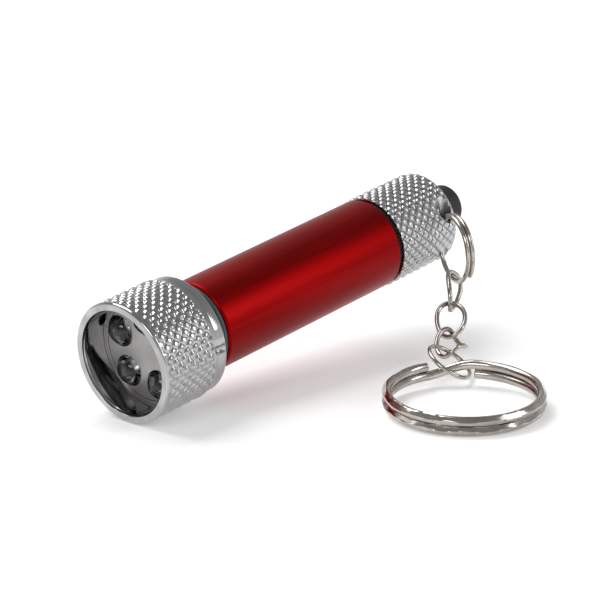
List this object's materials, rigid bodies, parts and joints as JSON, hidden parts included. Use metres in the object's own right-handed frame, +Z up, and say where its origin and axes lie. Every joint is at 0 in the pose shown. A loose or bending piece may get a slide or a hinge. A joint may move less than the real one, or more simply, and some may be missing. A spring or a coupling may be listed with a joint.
{
  "type": "keychain flashlight",
  "caption": "Keychain flashlight: knurled head with LEDs behind an open rim, plain barrel, knurled push-button tail cap, short chain and split key ring.",
  "frame": {"origin": "centre of the flat front face of the head's rim", "axes": "+X horizontal along the torch, head to tail; +Z up; the torch lies with its tail raised 7.43 degrees, so its axis is (0.9916, 0, 0.1293); the key ring lies on the floor on the -Y side"},
  "size_m": [0.0774, 0.0559, 0.0261],
  "materials": {
    "bright_aluminium": "polished lip, diamond knurl, satin rear band",
    "cap_aluminium": "diamond knurl",
    "satin_plate": "satin metallised",
    "led_resin": "clear moulded resin",
    "black_plastic": "matte",
    "white_plastic": "matte",
    "board_green": "solder mask",
    "spring_steel": "plated wire",
    "seal_rubber": "smooth",
    "red_anodised": "glossy red anodising",
    "sleeve_plastic": "thin wrap",
    "cell_steel": "nickel plated",
    "brass": "plain",
    "button_rubber": "matte",
    "nickel_wire": "nickel plated"
  },
  "bodies": {
    "barrel": {"barrel_tube": "red_anodised", "cell_sleeve": "sleeve_plastic", "cell_1": "cell_steel", "cell_2": "cell_steel", "cell_3": "cell_steel", "cell_4": "cell_steel"},
    "front_contact": {"front_spring": "spring_steel"},
    "head": {"head_shell": "bright_aluminium", "head_o_ring": "seal_rubber", "led_plate": "satin_plate", "led_1": "led_resin", "led_2": "led_resin", "led_3": "led_resin", "led_4": "led_resin", "led_5": "led_resin", "led_holder": "black_plastic", "led_board": "board_green"},
    "rear_contact": {"rear_spring": "spring_steel"},
    "tail": {"tail_cap": "cap_aluminium", "tail_o_ring": "seal_rubber", "switch_retainer": "brass", "switch_contact": "brass", "switch_housing": "black_plastic", "switch_spring": "spring_steel"},
    "button": {"push_button": "button_rubber", "switch_plunger": "white_plastic"},
    "small_ring": {"small_split_ring": "nickel_wire"},
    "link_1": {"chain_link_1": "nickel_wire"},
    "link_2": {"chain_link_2": "nickel_wire"},
    "link_3": {"chain_link_3": "nickel_wire"},
    "connector": {"connector_loop": "nickel_wire"},
    "key_ring": {"key_ring": "nickel_wire"}
  },
  "joints": [
    {"name": "head_travel", "type": "slide", "parent": "barrel", "child": "front_contact", "axis": [-0.9916, 0, -0.1293], "range_m": [0, 0.0051]},
    {"name": "head_turn", "type": "hinge", "parent": "front_contact", "child": "head", "pos_m": [0, 0, 0], "axis": [-0.9916, 0, -0.1293], "range_deg": [0, 1800]},
    {"name": "tail_travel", "type": "slide", "parent": "barrel", "child": "rear_contact", "axis": [0.9916, 0, 0.1293], "range_m": [0, 0.0051]},
    {"name": "tail_turn", "type": "hinge", "parent": "rear_contact", "child": "tail", "pos_m": [0, 0, 0], "axis": [0.9916, 0, 0.1293], "range_deg": [0, 1800]},
    {"name": "button_press", "type": "slide", "parent": "tail", "child": "button", "axis": [-0.9916, 0, -0.1293], "range_m": [0, 0.0015], "stiffness_N_per_m": 1200, "deforming": ["switch_spring"]},
    {"name": "small_ring_swing", "type": "hinge", "parent": "tail", "child": "small_ring", "pos_m": [0.06728, -0.00548, 0.0076], "axis": [0.1265, 0.2079, -0.9699], "range_deg": [-30, 6]},
    {"name": "link_1_swing", "type": "hinge", "parent": "small_ring", "child": "link_1", "pos_m": [0.06542, -0.01028, 0.0009], "axis": [-0.3975, -0.9174, -0.0166], "range_deg": [-30, 25]},
    {"name": "link_2_swing", "type": "hinge", "parent": "link_1", "child": "link_2", "pos_m": [0.06106, -0.01301, -0.0021], "axis": [-0.3753, -0.3472, 0.8594], "range_deg": [-30, 30]},
    {"name": "link_3_swing", "type": "hinge", "parent": "link_2", "child": "link_3", "pos_m": [0.05704, -0.01697, -0.00522], "axis": [0.425, -0.7862, 0.4487], "range_deg": [-30, 30]},
    {"name": "connector_swing", "type": "hinge", "parent": "link_3", "child": "connector", "pos_m": [0.05188, -0.02073, -0.00616], "axis": [-0.3152, 0.614, -0.7237], "range_deg": [-30, 30]},
    {"name": "key_ring_swing", "type": "hinge", "parent": "connector", "child": "key_ring", "pos_m": [0.04677, -0.02511, -0.00698], "axis": [0.6004, -0.6023, -0.526], "range_deg": [-20, 35]}
  ],
  "couplings": [
    {"joint": "head_travel", "follows": "head_turn", "m_per_rad": 0.00015915},
    {"joint": "tail_travel", "follows": "tail_turn", "m_per_rad": 0.00015915}
  ]
}
